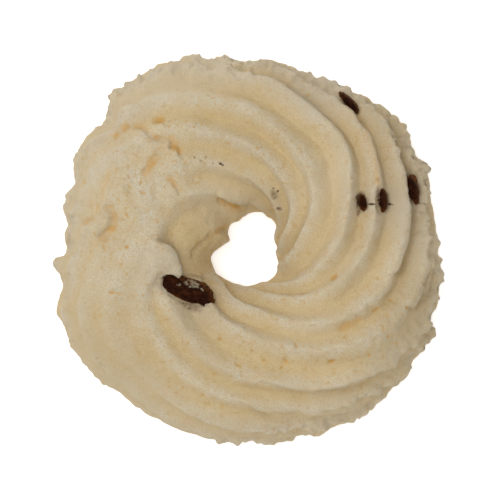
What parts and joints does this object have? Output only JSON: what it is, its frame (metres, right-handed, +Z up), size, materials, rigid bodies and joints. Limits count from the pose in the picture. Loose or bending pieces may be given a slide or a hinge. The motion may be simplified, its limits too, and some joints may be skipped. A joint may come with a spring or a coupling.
{
  "type": "butter cookie",
  "caption": "Piped ring of pale baked dough with deep twisted ridges, a small hole, a lapped join and pieces of dark chocolate set in its furrows.",
  "frame": {"origin": "on the flat underside, at the middle of the ring's box", "axes": "+Z up, through the ring's hole; +Y towards the top of the ring as seen from above in the picture, +X to its right"},
  "size_m": [0.0599, 0.0607, 0.0139],
  "materials": {
    "baked_dough": "matt, pale cream baked shortcrust dough, crumbly, a little warmer in the furrows",
    "dark_chocolate": "very dark brown chocolate, dull with small soft highlights"
  },
  "bodies": {
    "root": {"dough_ring": "baked_dough", "chocolate_large": "dark_chocolate", "chocolate_top_right": "dark_chocolate", "chocolate_right_inner": "dark_chocolate", "chocolate_right_middle": "dark_chocolate", "chocolate_right_outer": "dark_chocolate"}
  },
  "joints": []
}
